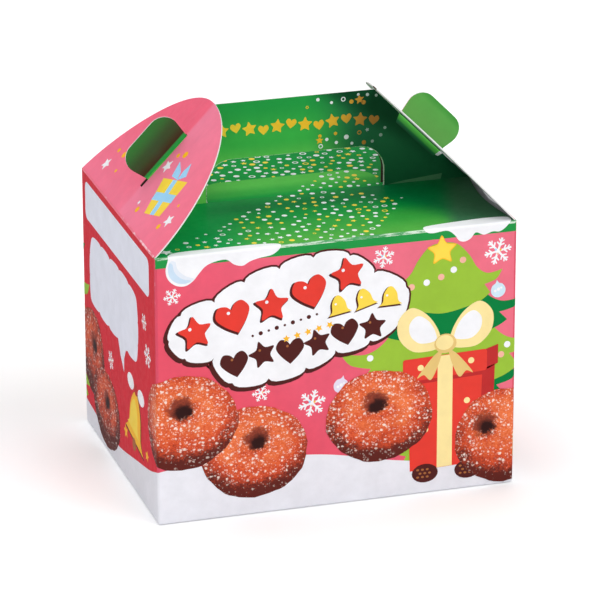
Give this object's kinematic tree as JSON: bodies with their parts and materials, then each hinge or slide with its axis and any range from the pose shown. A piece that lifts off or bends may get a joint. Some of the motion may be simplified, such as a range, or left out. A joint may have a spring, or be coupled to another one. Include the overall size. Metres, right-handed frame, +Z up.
{
  "type": "printed paperboard carry carton",
  "caption": "Closed paperboard carry box for doughnuts, with leaning side flaps, locking tabs and an upright handle with a hand hole.",
  "frame": {"origin": "middle of the base", "axes": "+X to the right along the front wall, +Y from the front wall to the back wall, +Z up"},
  "size_m": [0.14, 0.1082, 0.145],
  "materials": {
    "printed_board": "gloss coated print"
  },
  "bodies": {
    "root": {"carton": "printed_board"}
  },
  "joints": []
}
